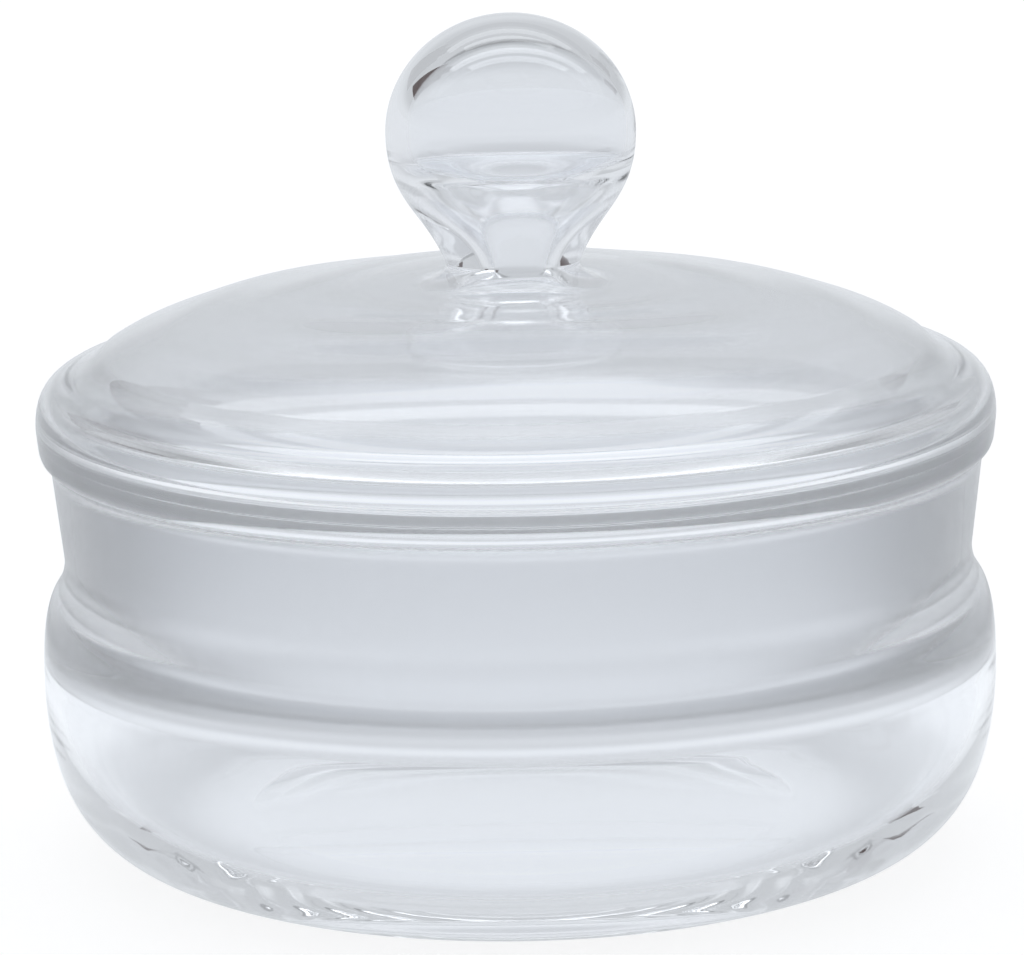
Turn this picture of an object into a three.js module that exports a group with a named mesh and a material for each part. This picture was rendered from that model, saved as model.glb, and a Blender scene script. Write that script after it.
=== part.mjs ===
// A low, round laboratory glass dish with a ground collar, and the domed lid that seats in it.
// Millimetres, Z up. The origin is the middle of the foot, on the surface that the dish stands on.
import * as THREE from "three";

// Driving dimensions: the dish
const bodyR = 35;
const bulgeZ = 13.5;
const footR = 24.5;
const footInnerR = 20.5;
const pushUp = 0.6;
const shoulderR = 34.05;
const shoulderZ = 19.5;
const neckR = 33.2;
const neckTopR = 33.95;
const rimZ = 29.4;
const rimRound = 0.45;
const floorZ = 2.4;
const bodyInnerR = 33.8;

// Driving dimensions: the ground joint between the lid and the dish
const jointTopR = 32.4;
const jointBottomZ = 18;
const taper = 0.05;
const seatGap = 0.3;

// Driving dimensions: the lid
const skirtInnerR = 30.6;
const skirtWall = 0.9;
const skirtEndZ = 17;
const flangeR = 34.95;
const flangeBottomZ = rimZ + seatGap;
const ridgeZ = 32;
const flangeTopR = 32.4;
const flangeTopZ = 35.5;
const domeEdgeR = 30.1;
const domeEdgeZ = 37.05;
const crownR = 7;
const crownZ = 41.55;
const domeWall = 1.6;
const foldR = 33.5;
const foldZ = 32.2;
const flareR = 6.5;

// Driving dimensions: the knob
const weldZ = 42.7;
const weldR = 4.8;
const stemR = 1.9;
const knobR = 9.05;
const knobWidestZ = 52.5;
const knobTopZ = 61.05;
const hollowR = 7.95;
const hollowWidestZ = 52.8;
const hollowTopZ = 59.4;
const kinkR = 6.4;
const kinkZ = 49.55;

const roundSegments = 48;
const knobSegments = 32;
const ellipseHandle = 0.5523;

// Turns an outline in (radius, height) about the vertical axis. The outline runs with the
// material on its left: up the outer side and down the inner side.
function turned(outline, segments, curveSteps) {
  const geometry = new THREE.LatheGeometry(outline.getPoints(curveSteps), segments);
  return geometry.rotateX(Math.PI / 2);
}

// Each glass piece has a material of its own, because its tint is a little different.
function glass(color, roughness) {
  return new THREE.MeshStandardMaterial({ color, roughness, metalness: 0 });
}

function piece(name, geometry, material) {
  const mesh = new THREE.Mesh(geometry, material);
  mesh.name = name;
  return mesh;
}

// Radius of the dish's ground wall at a height: it narrows downward, 1 in 10 on the diameter.
function jointR(z) {
  return jointTopR - taper * (rimZ - z);
}

// The dish: foot ring, round heel, bulging wall, shoulder, and the collar that is ground inside.
function dishOutline() {
  const outline = new THREE.Path();
  outline.moveTo(0, pushUp);
  outline.quadraticCurveTo(footInnerR * 0.7, pushUp, footInnerR, 0);
  outline.lineTo(footR, 0);
  outline.bezierCurveTo(32.5, 0, bodyR, 5.5, bodyR, bulgeZ);
  outline.bezierCurveTo(bodyR, 17.3, shoulderR + 0.45, shoulderZ - 0.65, shoulderR, shoulderZ);
  outline.bezierCurveTo(shoulderR - 0.5, shoulderZ + 0.7, neckR, shoulderZ + 1.5, neckR, shoulderZ + 2.7);
  outline.lineTo(neckTopR, rimZ - rimRound);
  outline.quadraticCurveTo(neckTopR, rimZ, neckTopR - rimRound, rimZ);
  outline.lineTo(jointTopR + rimRound, rimZ);
  outline.lineTo(jointR(rimZ - rimRound), rimZ - rimRound);
  outline.lineTo(jointR(jointBottomZ), jointBottomZ);
  outline.bezierCurveTo(32.2, 17.3, bodyInnerR, 16.4, bodyInnerR, 14.6);
  outline.lineTo(bodyInnerR, bulgeZ);
  outline.bezierCurveTo(bodyInnerR, 6.8, 31.6, floorZ, footR, floorZ);
  outline.lineTo(0, floorZ);
  return outline;
}

// The lid: a skirt that is ground outside, a flange folded from the same wall that rests over the
// rim, a thin dome, and a flared hole at the crown where the knob's stem is welded on.
function lidOutline() {
  const lipR = skirtInnerR + skirtWall / 2;
  const skirtR = (z) => jointR(z) - seatGap;
  const flareZ = crownZ - domeWall;
  const outline = new THREE.Path();
  outline.moveTo(skirtInnerR, skirtEndZ + 0.5);
  outline.quadraticCurveTo(skirtInnerR, skirtEndZ, lipR, skirtEndZ);
  outline.quadraticCurveTo(skirtInnerR + skirtWall, skirtEndZ, skirtInnerR + skirtWall, skirtEndZ + 0.5);
  outline.lineTo(skirtR(jointBottomZ), jointBottomZ + 0.1);
  outline.lineTo(skirtR(rimZ - rimRound), rimZ - rimRound);
  outline.lineTo(jointTopR + rimRound, flangeBottomZ);
  outline.lineTo(flangeR - 0.75, flangeBottomZ);
  outline.quadraticCurveTo(flangeR - 0.15, flangeBottomZ, flangeR - 0.1, flangeBottomZ + 1.2);
  outline.lineTo(flangeR, ridgeZ);
  outline.bezierCurveTo(flangeR, ridgeZ + 2, flangeTopR + 1.8, flangeTopZ - 0.3, flangeTopR, flangeTopZ);
  outline.quadraticCurveTo(flangeTopR - 1.2, flangeTopZ + 0.55, domeEdgeR, domeEdgeZ);
  outline.bezierCurveTo(25.2, 40.2, 17, crownZ, crownR, crownZ);
  outline.quadraticCurveTo(weldR + 0.7, crownZ + 0.1, weldR, weldZ);
  outline.lineTo(stemR, weldZ);
  outline.lineTo(stemR + 0.5, weldZ - 0.6);
  outline.bezierCurveTo(3.3, 41, 4.6, flareZ, flareR, flareZ);
  outline.bezierCurveTo(16.5, flareZ, 24.2, domeEdgeZ + 1.6, domeEdgeR - 0.9, domeEdgeZ - 1.35);
  outline.quadraticCurveTo(foldR - 1.6, flangeTopZ - 1.3, foldR - 0.35, foldZ + 1.3);
  outline.quadraticCurveTo(foldR + 0.35, foldZ - 0.1, foldR - 1.5, foldZ - 1);
  outline.bezierCurveTo(skirtInnerR + 0.6, foldZ - 1.7, skirtInnerR, foldZ - 2.4, skirtInnerR, foldZ - 4.2);
  outline.lineTo(skirtInnerR, skirtEndZ + 0.5);
  return outline;
}

// The knob: a hollow ball on a thick neck. Its hollow narrows to the stem's bore and opens
// through it into the space under the lid.
function knobOutline() {
  const neckZ = weldZ + seatGap;
  const knobRise = knobTopZ - knobWidestZ;
  const hollowRise = hollowTopZ - hollowWidestZ;
  const outline = new THREE.Path();
  outline.moveTo(0, hollowTopZ);
  outline.bezierCurveTo(
    hollowR * ellipseHandle, hollowTopZ,
    hollowR, hollowWidestZ + hollowRise * ellipseHandle,
    hollowR, hollowWidestZ);
  outline.bezierCurveTo(hollowR, kinkZ + 1.5, kinkR + 1.4, kinkZ + 0.6, kinkR, kinkZ);
  outline.bezierCurveTo(4.2, 48.6, stemR + 0.6, 46.8, stemR, neckZ + 0.6);
  outline.lineTo(stemR - 0.05, neckZ);
  outline.lineTo(weldR, neckZ);
  outline.bezierCurveTo(6.2, 46.8, knobR, 47.6, knobR, knobWidestZ);
  outline.bezierCurveTo(
    knobR, knobWidestZ + knobRise * ellipseHandle,
    knobR * ellipseHandle, knobTopZ,
    0, knobTopZ);
  return outline;
}

const group = new THREE.Group();
group.add(piece("dish", turned(dishOutline(), roundSegments, 5), glass(0xdde3ea, 0.04)));
group.add(piece("lid", turned(lidOutline(), roundSegments, 5), glass(0xe1e6ec, 0.04)));
group.add(piece("lid_knob", turned(knobOutline(), knobSegments, 5), glass(0xe4e9ee, 0.03)));

export default group;
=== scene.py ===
"""Looks for the lidded glass dish: two turned pieces of clear glass, ground where they meet."""

import math

import bpy
from mathutils import Matrix, Vector


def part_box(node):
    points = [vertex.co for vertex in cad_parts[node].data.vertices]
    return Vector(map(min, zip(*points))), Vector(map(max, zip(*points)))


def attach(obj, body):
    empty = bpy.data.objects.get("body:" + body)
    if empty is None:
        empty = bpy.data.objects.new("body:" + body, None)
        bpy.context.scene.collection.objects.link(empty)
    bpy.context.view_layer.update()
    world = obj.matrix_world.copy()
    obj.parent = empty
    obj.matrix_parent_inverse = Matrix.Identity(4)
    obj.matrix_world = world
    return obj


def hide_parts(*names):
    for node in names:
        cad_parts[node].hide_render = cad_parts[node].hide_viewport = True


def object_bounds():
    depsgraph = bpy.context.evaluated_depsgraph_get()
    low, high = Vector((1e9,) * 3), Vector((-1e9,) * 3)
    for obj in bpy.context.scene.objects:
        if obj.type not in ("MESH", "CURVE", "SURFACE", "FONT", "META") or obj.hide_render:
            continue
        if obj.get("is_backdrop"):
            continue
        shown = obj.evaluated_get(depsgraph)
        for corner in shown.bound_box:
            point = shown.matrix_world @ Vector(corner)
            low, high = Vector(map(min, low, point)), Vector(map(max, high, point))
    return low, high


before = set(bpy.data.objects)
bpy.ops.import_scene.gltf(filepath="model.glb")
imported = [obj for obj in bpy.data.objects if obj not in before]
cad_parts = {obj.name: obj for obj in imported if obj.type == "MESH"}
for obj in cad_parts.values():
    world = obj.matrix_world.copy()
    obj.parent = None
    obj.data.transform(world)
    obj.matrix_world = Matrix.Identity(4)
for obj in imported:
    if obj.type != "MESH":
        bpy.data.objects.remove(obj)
cad_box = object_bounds()

MM = 0.001

# ---------------------------------------------------------------- sizes, in millimetres
# The outer limits come from the frame. The outlines between them are shaped here.
_, dish_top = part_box("dish")
lid_low, lid_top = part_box("lid")
_, knob_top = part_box("lid_knob")

BODY_R = dish_top.x / MM
RIM_Z = dish_top.z / MM
SKIRT_END_Z = lid_low.z / MM
FLANGE_R = lid_top.x / MM
WELD_Z = lid_top.z / MM
KNOB_R = knob_top.x / MM
KNOB_TOP_Z = knob_top.z / MM

BULGE_Z = 13.5
FOOT_R = 24.5
FOOT_INNER_R = 20.5
PUSH_UP = 0.6
SHOULDER_R = 34.05
SHOULDER_Z = 19.5
NECK_R = 33.2
NECK_TOP_R = 33.95
RIM_ROUND = 0.45
FLOOR_Z = 2.4
BODY_INNER_R = 33.8

JOINT_TOP_R = 32.4
JOINT_BOTTOM_Z = 18.0
TAPER = 0.05
SEAT_GAP = 0.3

SKIRT_INNER_R = 30.6
SKIRT_WALL = 0.9
SKIRT_OUTER_R = SKIRT_INNER_R + SKIRT_WALL
LIP_ROUND = 0.5
RIDGE_Z = 32.0
FLANGE_TOP_R = 32.4
FLANGE_TOP_Z = 35.5
DOME_EDGE_R = 30.1
DOME_EDGE_Z = 37.05
CROWN_R = 7.0
CROWN_Z = 41.55
DOME_WALL = 1.6
FOLD_R = 33.5
FOLD_Z = 32.2
FLARE_R = 6.5
FLARE_Z = CROWN_Z - DOME_WALL

WELD_R = 4.8
STEM_R = 1.9
KNOB_WIDEST_Z = 52.5
HOLLOW_R = 7.95
HOLLOW_WIDEST_Z = 52.8
HOLLOW_TOP_Z = 59.4
KINK_R = 6.4
KINK_Z = 49.55

# How far the glass is from perfectly turned: the hollow's shift, and the heights of the waves.
HOLLOW_OFFSET = 0.34
DISH_WAVE = 0.02
LID_WAVE = 0.03
LID_RIPPLE = 0.045

# Length of a Bezier handle that makes a quarter of an ellipse.
ELLIPSE = 0.5523
# Faces round the axis, and the length of one step along an outline.
AROUND = 288
STEP = 0.5

# ---------------------------------------------------------------- glass
GLASS_IOR = 1.473
GLASS_TINT = (0.985, 0.99, 1.0, 1)
UNEVEN_ROUGHNESS = 0.12
FINE_GROUND_ROUGHNESS = 0.24
GROUND_ROUGHNESS = 0.42
# Which of its piece's materials a named face has. A face that isn't named here is clear.
FINISHES = {"ground": 1, "under": 2, "bore": 2}

# ---------------------------------------------------------------- light
# Painted light and shade on the paper, by distance in metres from the dish's middle: brighter under
# and close beside the dish, a painted shadow ring close round the foot, a darker painted ring
# farther out.
PAINTED_PAPER_LEVELS = [(0.021, 0.84), (0.028, 0.6), (0.035, 0.6), (0.043, 0.8), (0.06, 0.8),
               (0.105, 0.42), (0.17, 0.56), (0.25, 0.6)]
PAPER_REACH = 0.3
PAPER_COLOR = (0.3, 0.3, 0.305, 1)
FLOOR_HALF_WIDTH = 6.0
FLOOR_DROP = 0.0002

# The room's glow at the horizon and above it. The change is between these sines of elevation.
HORIZON_GLOW = 0.8
ROOM_GLOW = 0.62
HORIZON_TOP = 0.05
ROOM_BOTTOM = 0.2
# The colour of paper and room as the glass sees them, and their levels where the camera does.
ROOM_TINT = (0.925, 0.96, 1.0, 1)
WHITE_PAPER_GLOW = 0.83
WHITE_ROOM_GLOW = 1.0
# Azimuth from +Y, elevation, half width and half height in degrees, and strength. Windows add
# light, flags take a share of it away.
WINDOWS = [
    (0, 58, 55, 12, 0.25),
    (0, 66, 24, 3, 1.9),
    (0, 54, 30, 3, 1.2),
]
FLAGS = [
    (0, 42, 35, 4, 0.45),
]
PATCH_EDGE = 0.03

# Dark cards behind the dish, which the camera doesn't see, draw the edges of the glass:
# name, azimuth and half width in degrees, and the heights of the lower and upper edge.
CARDS = [
    ("left_card", -42, 4, 0.2, 0.42),
    ("upper_left_card", -42, 9, 0.16, 0.36),
    ("right_card", 41, 3.5, 0.17, 0.27),
]
CARD_DISTANCE = 0.4
CARD_COLOR = (0.07, 0.03, 0.025, 1)

# A ray crosses the thin walls many times near the edges of the glass.
GLASS_BOUNCES = 96
GLOSSY_BOUNCES = 48

# ---------------------------------------------------------------- camera
LENS = 172.1
SENSOR_WIDTH = 36
CLIP_START = 0.01
CAMERA_ELEVATION = 12.515
CAMERA_ROLL = -1.053
CAMERA_AWAY = 358.7
CAMERA_ASIDE = 0.36
AIM = (-0.36, 0, 26.93)


# ---------------------------------------------------------------- turned glass
class Section:
    """Half of a turned piece cut through its axis: points (radius, height), each on a named face."""

    def __init__(self, radius, height, face):
        self.points = [(radius, height)]
        self.faces = [face]

    def _add(self, where, length, face):
        count = max(2, round(length / STEP))
        for i in range(1, count + 1):
            self.points.append(where(i / count))
            self.faces.append(face)

    def line(self, radius, height, face):
        r0, z0 = self.points[-1]
        length = math.hypot(radius - r0, height - z0)
        self._add(lambda t: (r0 + (radius - r0) * t, z0 + (height - z0) * t), length, face)

    def bend(self, r1, z1, radius, height, face):
        """A curve with one handle."""
        r0, z0 = self.points[-1]

        def where(t):
            a, b, c = (1 - t) ** 2, 2 * t * (1 - t), t * t
            return a * r0 + b * r1 + c * radius, a * z0 + b * z1 + c * height

        length = math.hypot(r1 - r0, z1 - z0) + math.hypot(radius - r1, height - z1)
        self._add(where, max(length, 4 * STEP), face)

    def curve(self, r1, z1, r2, z2, radius, height, face):
        """A curve with two handles."""
        r0, z0 = self.points[-1]

        def where(t):
            a, b, c, d = (1 - t) ** 3, 3 * t * (1 - t) ** 2, 3 * t * t * (1 - t), t ** 3
            return a * r0 + b * r1 + c * r2 + d * radius, a * z0 + b * z1 + c * z2 + d * height

        length = math.hypot(r1 - r0, z1 - z0) + math.hypot(r2 - r1, z2 - z1)
        length += math.hypot(radius - r2, height - z2)
        self._add(where, max(length, 4 * STEP), face)


def turn(name, section, shift):
    """A closed mesh from a section turned about Z. shift moves a point by its face name."""
    closed = section.points[0] == section.points[-1]
    count = len(section.points) - (1 if closed else 0)
    rows, verts, faces, finishes = [], [], [], []
    for (radius, height), face in zip(section.points[:count], section.faces[:count]):
        if radius < 1e-6:
            rows.append([len(verts)] * AROUND)
            verts.append(shift(0.0, 0.0, height, face))
            continue
        row = []
        for k in range(AROUND):
            a = 2 * math.pi * k / AROUND
            row.append(len(verts))
            verts.append(shift(radius * math.cos(a), radius * math.sin(a), height, face))
        rows.append(row)
    pairs = [(i, i + 1) for i in range(count - 1)] + ([(count - 1, 0)] if closed else [])
    for i, j in pairs:
        for k in range(AROUND):
            m = (k + 1) % AROUND
            quad = [rows[i][k], rows[i][m], rows[j][m], rows[j][k]]
            faces.append([v for n, v in enumerate(quad) if v not in quad[:n]])
            finishes.append(FINISHES.get(section.faces[j], 0))
    mesh = bpy.data.meshes.new(name)
    mesh.from_pydata([Vector(v) * MM for v in verts], [], faces)
    mesh.polygons.foreach_set("material_index", finishes)
    mesh.polygons.foreach_set("use_smooth", [True] * len(faces))
    mesh.update()
    piece = bpy.data.objects.new(name, mesh)
    bpy.context.scene.collection.objects.link(piece)
    return piece


def joint_r(z):
    """Radius of the ground wall inside the collar. It narrows downward."""
    return JOINT_TOP_R - TAPER * (RIM_Z - z)


def dish_section():
    s = Section(0, PUSH_UP, "foot")
    s.bend(FOOT_INNER_R * 0.7, PUSH_UP, FOOT_INNER_R, 0, "foot")
    s.line(FOOT_R, 0, "foot")
    s.curve(32.5, 0, BODY_R, 5.5, BODY_R, BULGE_Z, "outside")
    s.curve(BODY_R, 17.3, SHOULDER_R + 0.45, SHOULDER_Z - 0.65, SHOULDER_R, SHOULDER_Z, "outside")
    s.curve(SHOULDER_R - 0.5, SHOULDER_Z + 0.7, NECK_R, SHOULDER_Z + 1.5,
            NECK_R, SHOULDER_Z + 2.7, "outside")
    s.line(NECK_TOP_R, RIM_Z - RIM_ROUND, "outside")
    s.bend(NECK_TOP_R, RIM_Z, NECK_TOP_R - RIM_ROUND, RIM_Z, "outside")
    s.line(JOINT_TOP_R + RIM_ROUND, RIM_Z, "rim")
    s.line(joint_r(RIM_Z - RIM_ROUND), RIM_Z - RIM_ROUND, "rim")
    s.line(joint_r(JOINT_BOTTOM_Z), JOINT_BOTTOM_Z, "ground")
    s.curve(32.2, 17.3, BODY_INNER_R, 16.4, BODY_INNER_R, 14.6, "ground")
    s.line(BODY_INNER_R, BULGE_Z, "inside")
    s.curve(BODY_INNER_R, 6.8, 31.6, FLOOR_Z, FOOT_R, FLOOR_Z, "inside")
    s.line(0, FLOOR_Z, "floor")
    return s


def add_hollow(s):
    """From the top of the ball's hollow down through the bore to the underside of the dome."""
    rise = HOLLOW_TOP_Z - HOLLOW_WIDEST_Z
    s.curve(HOLLOW_R * ELLIPSE, HOLLOW_TOP_Z, HOLLOW_R, HOLLOW_WIDEST_Z + rise * ELLIPSE,
            HOLLOW_R, HOLLOW_WIDEST_Z, "hollow")
    s.curve(HOLLOW_R, KINK_Z + 1.5, KINK_R + 1.4, KINK_Z + 0.6, KINK_R, KINK_Z, "hollow")
    s.curve(4.2, 48.6, STEM_R + 0.6, 46.8, STEM_R, 43.6, "bore")
    s.curve(STEM_R - 0.1, 43.1, STEM_R, 42.6, STEM_R + 0.5, 42.1, "bore")
    s.curve(3.3, 41, 4.6, FLARE_Z, FLARE_R, FLARE_Z, "bore")


def add_underside(s):
    """Under the dome, round the fold in the flange, and down inside the skirt."""
    s.curve(16.5, FLARE_Z, 24.2, DOME_EDGE_Z + 1.6, DOME_EDGE_R - 0.9, DOME_EDGE_Z - 1.35, "under")
    s.bend(FOLD_R - 1.6, FLANGE_TOP_Z - 1.3, FOLD_R - 0.35, FOLD_Z + 1.3, "under")
    s.bend(FOLD_R + 0.35, FOLD_Z - 0.1, FOLD_R - 1.5, FOLD_Z - 1.0, "under")
    s.curve(SKIRT_INNER_R + 0.6, FOLD_Z - 1.7, SKIRT_INNER_R, FOLD_Z - 2.4,
            SKIRT_INNER_R, FOLD_Z - 4.2, "skirt")
    s.line(SKIRT_INNER_R, SKIRT_END_Z + LIP_ROUND, "skirt")


def add_ground_skirt(s):
    """Round the skirt's lip and up its ground outside."""
    lip_r = SKIRT_INNER_R + SKIRT_WALL / 2
    s.bend(SKIRT_INNER_R, SKIRT_END_Z, lip_r, SKIRT_END_Z, "ground")
    s.bend(SKIRT_OUTER_R, SKIRT_END_Z, SKIRT_OUTER_R, SKIRT_END_Z + LIP_ROUND, "ground")
    s.line(joint_r(JOINT_BOTTOM_Z) - SEAT_GAP, JOINT_BOTTOM_Z + 0.1, "ground")
    s.line(joint_r(RIM_Z - RIM_ROUND) - SEAT_GAP, RIM_Z - RIM_ROUND, "ground")


def add_top(s):
    """Round the flange, over the dome, and up the neck to the top of the ball."""
    seat_z = RIM_Z + SEAT_GAP
    rise = KNOB_TOP_Z - KNOB_WIDEST_Z
    s.line(JOINT_TOP_R + RIM_ROUND, seat_z, "top")
    s.line(FLANGE_R - 0.75, seat_z, "top")
    s.bend(FLANGE_R - 0.15, seat_z, FLANGE_R - 0.1, seat_z + 1.2, "top")
    s.line(FLANGE_R, RIDGE_Z, "top")
    s.curve(FLANGE_R, RIDGE_Z + 2, FLANGE_TOP_R + 1.8, FLANGE_TOP_Z - 0.3,
            FLANGE_TOP_R, FLANGE_TOP_Z, "top")
    s.bend(FLANGE_TOP_R - 1.2, FLANGE_TOP_Z + 0.55, DOME_EDGE_R, DOME_EDGE_Z, "top")
    s.curve(25.2, 40.2, 17, CROWN_Z, CROWN_R, CROWN_Z, "top")
    s.bend(WELD_R + 0.7, CROWN_Z + 0.1, WELD_R, WELD_Z + 0.1, "top")
    s.curve(6.2, 46.8, KNOB_R, 47.6, KNOB_R, KNOB_WIDEST_Z, "top")
    s.curve(KNOB_R, KNOB_WIDEST_Z + rise * ELLIPSE, KNOB_R * ELLIPSE, KNOB_TOP_Z,
            0, KNOB_TOP_Z, "top")


def lid_section():
    s = Section(0, HOLLOW_TOP_Z, "hollow")
    add_hollow(s)
    add_underside(s)
    add_ground_skirt(s)
    add_top(s)
    return s


def clamp(value):
    return min(1.0, max(0.0, value))


def ease(share):
    return share * share * (3 - 2 * share)


def dish_shift(x, y, z, face):
    """The wall inside is slightly uneven, as blown glass is."""
    if face == "inside":
        a = math.atan2(y, x)
        wave = DISH_WAVE * math.sin(3 * a + 0.4 * z + 1) * clamp((17 - z) / 2) * clamp((z - 10) / 4)
        x += wave * math.cos(a)
        y += wave * math.sin(a)
    return x, y, z


def lid_shift(x, y, z, face):
    """The ball's hollow sits a little to one side, and the dome waves slightly, wall and all."""
    if face in ("hollow", "bore"):
        x += HOLLOW_OFFSET * ease(clamp((z - 40.5) / 3))
    if face in ("under", "top"):
        r = math.hypot(x, y)
        a = math.atan2(y, x)
        wave = LID_WAVE * math.sin(5 * a + 0.35 * r)
        wave += LID_RIPPLE * math.sin(0.85 * r + 1.3 * math.sin(3 * a))
        z += wave * ease(clamp((r - 9.5) / 5) * clamp((29 - r) / 4))
    return x, y, z


def glass(name, roughness):
    material = bpy.data.materials.new(name)
    material.use_nodes = True
    shader = material.node_tree.nodes["Principled BSDF"]
    shader.inputs["Base Color"].default_value = GLASS_TINT
    shader.inputs["Roughness"].default_value = roughness
    shader.inputs["IOR"].default_value = GLASS_IOR
    shader.inputs["Transmission Weight"].default_value = 1
    return material


# ---------------------------------------------------------------- stage, light and camera
def seen_white(tree, glow, white):
    """Strength and colour of a glow: plain white where the camera sees it bare, otherwise
    the given strength, a little blue, which is what the glass gathers from the room."""
    sight = tree.nodes.new("ShaderNodeLightPath").outputs["Is Camera Ray"]
    strength = tree.nodes.new("ShaderNodeMix")
    tree.links.new(sight, strength.inputs["Factor"])
    tree.links.new(glow, strength.inputs["A"])
    strength.inputs["B"].default_value = white
    tint = tree.nodes.new("ShaderNodeMix")
    tint.data_type = "RGBA"
    tree.links.new(sight, tint.inputs[0])
    tint.inputs[6].default_value = ROOM_TINT
    tint.inputs[7].default_value = (1, 1, 1, 1)
    return strength.outputs[0], tint.outputs[2]


def matt(name, color, roughness):
    """A material with no gloss, and its shader."""
    material = bpy.data.materials.new(name)
    material.use_nodes = True
    shader = material.node_tree.nodes["Principled BSDF"]
    shader.inputs["Base Color"].default_value = color
    shader.inputs["Roughness"].default_value = roughness
    shader.inputs["Specular IOR Level"].default_value = 0.0
    return material, shader


def flat(name, corners, material):
    """One four-sided face that belongs to the stage."""
    mesh = bpy.data.meshes.new(name)
    mesh.from_pydata(corners, [], [(0, 1, 2, 3)])
    mesh.materials.append(material)
    panel = bpy.data.objects.new(name, mesh)
    bpy.context.scene.collection.objects.link(panel)
    panel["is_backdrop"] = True
    return panel


def painted_paper_light(tree):
    """Painted light and shade on the paper: a glow that changes with the distance from the middle of
    the dish, with painted shadow rings.
    """
    coords = tree.nodes.new("ShaderNodeTexCoord")
    distance = tree.nodes.new("ShaderNodeVectorMath")
    distance.operation = "LENGTH"
    tree.links.new(coords.outputs["Object"], distance.inputs[0])
    share = tree.nodes.new("ShaderNodeMath")
    share.operation = "DIVIDE"
    tree.links.new(distance.outputs["Value"], share.inputs[0])
    share.inputs[1].default_value = PAPER_REACH
    # The ramp paints the paper's light and shade by distance, with a painted shadow ring round the
    # foot.
    glow = tree.nodes.new("ShaderNodeValToRGB")
    glow.color_ramp.interpolation = "EASE"
    stops = glow.color_ramp.elements
    for i, (far, level) in enumerate(PAINTED_PAPER_LEVELS):
        stop = stops[i] if i < 2 else stops.new(1.0)
        stop.position = far / PAPER_REACH
        stop.color = (level, level, level, 1)
    tree.links.new(share.outputs[0], glow.inputs["Fac"])
    return glow.outputs["Color"]


def stage():
    material, shader = matt("floor_paper", PAPER_COLOR, 0.9)
    tree = material.node_tree
    # The paper's emission carries its painted light and shade by distance from the dish.
    strength, tint = seen_white(tree, painted_paper_light(tree), WHITE_PAPER_GLOW)
    tree.links.new(strength, shader.inputs["Emission Strength"])
    tree.links.new(tint, shader.inputs["Emission Color"])
    w = FLOOR_HALF_WIDTH
    floor = flat("floor", [(-w, -w, 0), (w, -w, 0), (w, w, 0), (-w, w, 0)], material)
    floor.location.z = -FLOOR_DROP


def cards():
    material, _ = matt("card", CARD_COLOR, 1.0)
    for name, azimuth, half_width, low, high in CARDS:
        corners = []
        for side, height in ((-1, low), (1, low), (1, high), (-1, high)):
            a = math.radians(azimuth + side * half_width)
            corners.append((CARD_DISTANCE * math.sin(a), CARD_DISTANCE * math.cos(a), height))
        card = flat(name, corners, material)
        card.visible_camera = False


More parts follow.
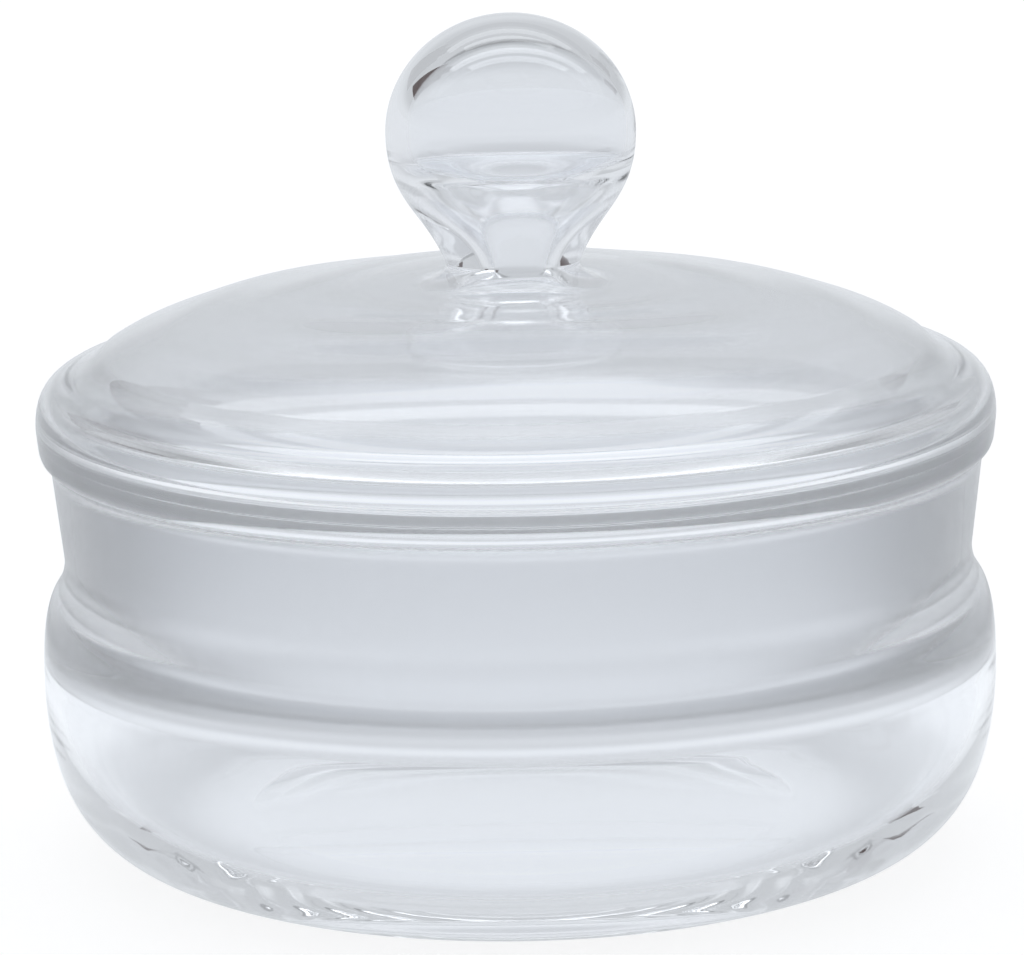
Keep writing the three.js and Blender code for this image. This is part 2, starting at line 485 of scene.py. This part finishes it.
def world_light():
    """A pale room: an even glow, with brighter windows and darker flags in some directions."""
    world = bpy.data.worlds.new("studio")
    bpy.context.scene.world = world
    world.use_nodes = True
    tree = world.node_tree
    tree.nodes.clear()
    out = tree.nodes.new("ShaderNodeOutputWorld")
    background = tree.nodes.new("ShaderNodeBackground")
    tree.links.new(background.outputs[0], out.inputs[0])
    direction = tree.nodes.new("ShaderNodeTexCoord").outputs["Generated"]

    def math_node(operation, *values):
        node = tree.nodes.new("ShaderNodeMath")
        node.operation = operation
        for slot, value in enumerate(values):
            if isinstance(value, (int, float)):
                node.inputs[slot].default_value = value
            else:
                tree.links.new(value, node.inputs[slot])
        return node.outputs[0]

    def dot(vector):
        node = tree.nodes.new("ShaderNodeVectorMath")
        node.operation = "DOT_PRODUCT"
        tree.links.new(direction, node.inputs[0])
        node.inputs[1].default_value = vector
        return node.outputs["Value"]

    def smooth(value, low, high):
        node = tree.nodes.new("ShaderNodeMapRange")
        node.interpolation_type = "SMOOTHSTEP"
        tree.links.new(value, node.inputs["Value"])
        node.inputs["From Min"].default_value = low
        node.inputs["From Max"].default_value = high
        return node.outputs["Result"]

    def patch(azimuth, elevation, half_width, half_height):
        """1 inside a rectangle seen in that direction, fading over its edge."""
        a, e = math.radians(azimuth), math.radians(elevation)
        ahead = Vector((math.sin(a) * math.cos(e), math.cos(a) * math.cos(e), math.sin(e)))
        side = Vector((math.cos(a), -math.sin(a), 0))
        up = side.cross(ahead)
        depth = math_node("MAXIMUM", dot(ahead), 1e-4)
        u = math_node("ABSOLUTE", math_node("DIVIDE", dot(side), depth))
        v = math_node("ABSOLUTE", math_node("DIVIDE", dot(up), depth))
        w = math.tan(math.radians(half_width))
        h = math.tan(math.radians(half_height))
        inside = math_node("MULTIPLY", smooth(u, w + PATCH_EDGE, w), smooth(v, h + PATCH_EDGE, h))
        return math_node("MULTIPLY", inside, math_node("GREATER_THAN", dot(ahead), 0.01))

    above = smooth(dot((0, 0, 1)), HORIZON_TOP, ROOM_BOTTOM)
    glow = math_node("MULTIPLY_ADD", above, ROOM_GLOW - HORIZON_GLOW, HORIZON_GLOW)
    for *place, strength in FLAGS:
        kept = math_node("MULTIPLY_ADD", patch(*place), -strength, 1.0)
        glow = math_node("MULTIPLY", glow, kept)
    for *place, strength in WINDOWS:
        glow = math_node("MULTIPLY_ADD", patch(*place), strength, glow)
    strength, tint = seen_white(tree, glow, WHITE_ROOM_GLOW)
    tree.links.new(strength, background.inputs["Strength"])
    tree.links.new(tint, background.inputs["Color"])


def camera():
    data = bpy.data.cameras.new("camera")
    cam = bpy.data.objects.new("camera", data)
    bpy.context.scene.collection.objects.link(cam)
    data.lens = LENS
    data.sensor_width = SENSOR_WIDTH
    data.clip_start = CLIP_START
    elevation = math.radians(CAMERA_ELEVATION)
    roll = math.radians(CAMERA_ROLL)
    aim = Vector(AIM) * MM
    level_ahead = Vector((0, math.cos(elevation), -math.sin(elevation)))
    cam.location = aim - level_ahead * (CAMERA_AWAY * MM) + Vector((CAMERA_ASIDE * MM, 0, 0))
    ahead = (aim - cam.location).normalized()
    side = ahead.cross(Vector((0, 0, 1))).normalized()
    up = side.cross(ahead)
    rolled_side = side * math.cos(roll) + up * math.sin(roll)
    rolled_up = up * math.cos(roll) - side * math.sin(roll)
    cam.rotation_mode = "QUATERNION"
    axes = Matrix((rolled_side, rolled_up, -ahead)).transposed()
    cam.rotation_quaternion = axes.to_quaternion()
    bpy.context.scene.camera = cam


# ---------------------------------------------------------------- the scene
scene = bpy.context.scene
camera()
stage()
cards()
world_light()
scene.view_settings.view_transform = "Standard"
scene.cycles.max_bounces = GLASS_BOUNCES
scene.cycles.transmission_bounces = GLASS_BOUNCES
scene.cycles.glossy_bounces = GLOSSY_BOUNCES

clear = glass("clear_glass", 0.0)
ground = glass("ground_glass", GROUND_ROUGHNESS)
fine_ground = glass("fine_ground_glass", FINE_GROUND_ROUGHNESS)
uneven = glass("uneven_glass", UNEVEN_ROUGHNESS)

dish = turn("glass_dish", dish_section(), dish_shift)
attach(dish, "dish")
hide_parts("dish")

lid = turn("glass_lid", lid_section(), lid_shift)
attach(lid, "lid")
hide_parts("lid", "lid_knob")

for material in (clear, fine_ground):
    dish.data.materials.append(material)
for material in (clear, ground, uneven):
    lid.data.materials.append(material)

boxes = {"cad": cad_box, "visual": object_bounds()}
{name: [list(corner) for corner in box] for name, box in boxes.items()}
